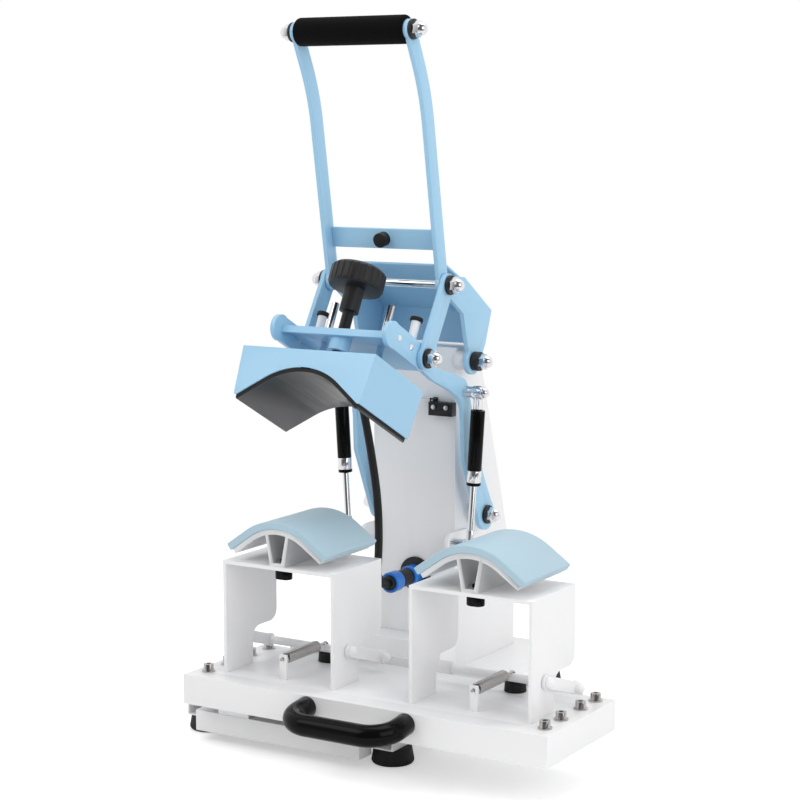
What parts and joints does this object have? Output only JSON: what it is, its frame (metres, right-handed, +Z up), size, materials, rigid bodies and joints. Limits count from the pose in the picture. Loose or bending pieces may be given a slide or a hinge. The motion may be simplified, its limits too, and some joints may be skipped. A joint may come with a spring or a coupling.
{
  "type": "cap heat press",
  "caption": "Heat press for caps: a curved heated head on a toggle linkage closes over a curved pad, and a tray slides the pedestals under it in turn.",
  "frame": {"origin": "middle of the footprint, on the floor under the rubber feet", "axes": "+X along the tray's travel, to the right of the operator; +Y towards the back; +Z up"},
  "size_m": [0.522, 0.59, 0.853],
  "materials": {
    "white_coat": "satin white powder coat",
    "blue_coat": "satin light blue powder coat",
    "steel": "ground and zinc-plated steel",
    "chrome": "polished",
    "aluminium": "extruded, bare",
    "hot_plate": "dark non-stick coating",
    "pad": "grey-blue silicone",
    "rubber": "matt black rubber",
    "foam": "matt black foam",
    "black_plastic": "moulded, fine grain",
    "gloss_black": "glossy moulded",
    "ring_blue": "glossy moulded",
    "display": "tinted window",
    "keys": "moulded",
    "rocker_red": "glossy moulded"
  },
  "bodies": {
    "frame": {"base_pan": "white_coat", "foot_bars": "white_coat", "rubber_feet": "rubber", "wiring_cover": "white_coat", "column": "white_coat", "controller": "black_plastic", "controller_window": "display", "keypad": "keys", "mains_inlet": "black_plastic", "power_switch": "black_plastic", "pivot_shafts": "steel", "pivot_bushes": "white_coat", "pivot_washers": "black_plastic", "pivot_nuts": "chrome", "limit_switch": "black_plastic", "switch_screws": "steel", "heater_socket": "black_plastic", "plug_rings": "ring_blue", "plug_body": "black_plastic", "heater_cable": "rubber", "bearing_blocks": "aluminium", "strut_brackets": "white_coat"},
    "power_rocker": {"power_rocker": "rocker_red"},
    "switch_lever": {"switch_lever": "steel"},
    "tray": {"tray": "white_coat", "tray_screws": "steel", "shaft_supports": "aluminium", "guide_shafts": "chrome", "pull_handle": "gloss_black", "pedestals": "white_coat", "platens": "aluminium", "pads": "pad", "spring_posts": "white_coat", "bail_bumpers": "rubber", "cap_spring_left": "steel", "cap_spring_right": "steel"},
    "cap_bail_left": {"cap_bail_left": "white_coat"},
    "cap_bail_right": {"cap_bail_right": "white_coat"},
    "lock_knob_left": {"lock_knob_left": "black_plastic"},
    "lock_knob_right": {"lock_knob_right": "black_plastic"},
    "lift": {"lift_arms": "blue_coat", "carrier": "blue_coat", "carrier_screws": "steel", "bumper_posts": "white_coat"},
    "strut_tubes": {"strut_tubes": "black_plastic", "strut_collars": "steel"},
    "strut_rods": {"strut_rods": "chrome"},
    "crank": {"handle_arms": "blue_coat", "crank_hood": "blue_coat", "crank_shaft": "steel", "crank_washers": "black_plastic", "crank_nuts": "chrome", "grip": "foam", "crossbar": "blue_coat"},
    "links": {"toggle_links": "blue_coat", "link_washers": "black_plastic", "link_nuts": "chrome"},
    "heater": {"heat_shield": "blue_coat", "heating_plate": "hot_plate"},
    "pressure_screw": {"pressure_screw": "black_plastic"}
  },
  "joints": [
    {"name": "tray_slide", "type": "slide", "parent": "frame", "child": "tray", "axis": [1, 0, 0], "range_m": [-0.254, 0]},
    {"name": "head_lift", "type": "hinge", "parent": "frame", "child": "lift", "pos_m": [-0.106, 0.147, 0.234], "axis": [1, 0, 0], "range_deg": [0, 27.37], "stiffness_Nm_per_rad": 15, "springref_deg": -131.78, "deforming": ["heater_cable"]},
    {"name": "handle_turn", "type": "hinge", "parent": "frame", "child": "crank", "pos_m": [-0.106, 0.112, 0.434], "axis": [1, 0, 0], "range_deg": [0, 73.17]},
    {"name": "link_turn", "type": "hinge", "parent": "crank", "child": "links", "pos_m": [-0.106, 0.038, 0.534], "axis": [1, 0, 0], "range_deg": [-107.16, 0]},
    {"name": "strut_rod_turn", "type": "hinge", "parent": "frame", "child": "strut_rods", "pos_m": [-0.106, 0.09, 0.204], "axis": [1, 0, 0], "range_deg": [0, 24.99]},
    {"name": "strut_tube_turn", "type": "hinge", "parent": "lift", "child": "strut_tubes", "pos_m": [-0.106, 0.09, 0.398], "axis": [1, 0, 0], "range_deg": [-2.88, 0]},
    {"name": "pressure_travel", "type": "slide", "parent": "lift", "child": "heater", "axis": [0, 0.4598, 0.888], "range_m": [-0.004, 0.004]},
    {"name": "pressure_knob", "type": "hinge", "parent": "heater", "child": "pressure_screw", "pos_m": [-0.106, -0.03211, 0.53619], "axis": [0, 0.4598, 0.888], "range_deg": [-725, 725]},
    {"name": "cap_bail_left_turn", "type": "hinge", "parent": "tray", "child": "cap_bail_left", "pos_m": [-0.106, -0.173, 0.126], "axis": [1, 0, 0], "range_deg": [0, 18], "stiffness_Nm_per_rad": 0.6, "springref_deg": -34.38, "deforming": ["cap_spring_left"]},
    {"name": "cap_bail_right_turn", "type": "hinge", "parent": "tray", "child": "cap_bail_right", "pos_m": [0.148, -0.173, 0.126], "axis": [1, 0, 0], "range_deg": [0, 18], "stiffness_Nm_per_rad": 0.6, "springref_deg": -34.38, "deforming": ["cap_spring_right"]},
    {"name": "lock_knob_left_turn", "type": "hinge", "parent": "tray", "child": "lock_knob_left", "pos_m": [-0.106, -0.189, 0.21], "axis": [0, 0, 1], "continuous": true},
    {"name": "lock_knob_right_turn", "type": "hinge", "parent": "tray", "child": "lock_knob_right", "pos_m": [0.148, -0.189, 0.21], "axis": [0, 0, 1], "continuous": true},
    {"name": "power_rocker_tip", "type": "hinge", "parent": "frame", "child": "power_rocker", "pos_m": [-0.082, 0.26, 0.06175], "axis": [1, 0, 0], "range_deg": [0, 14]},
    {"name": "switch_lever_tip", "type": "hinge", "parent": "frame", "child": "switch_lever", "pos_m": [-0.074, 0.0995, 0.3832], "axis": [0, -1, 0], "range_deg": [0, 8], "stiffness_Nm_per_rad": 0.02, "springref_deg": -11.46}
  ],
  "couplings": [
    {"joint": "handle_turn", "follows": "head_lift", "ratio": 2.6657},
    {"joint": "link_turn", "follows": "head_lift", "ratio": -3.9036},
    {"joint": "strut_rod_turn", "follows": "head_lift", "ratio": 0.90572},
    {"joint": "strut_tube_turn", "follows": "head_lift", "ratio": -0.09428},
    {"joint": "pressure_knob", "follows": "pressure_travel", "rad_per_m": 3141.6}
  ]
}
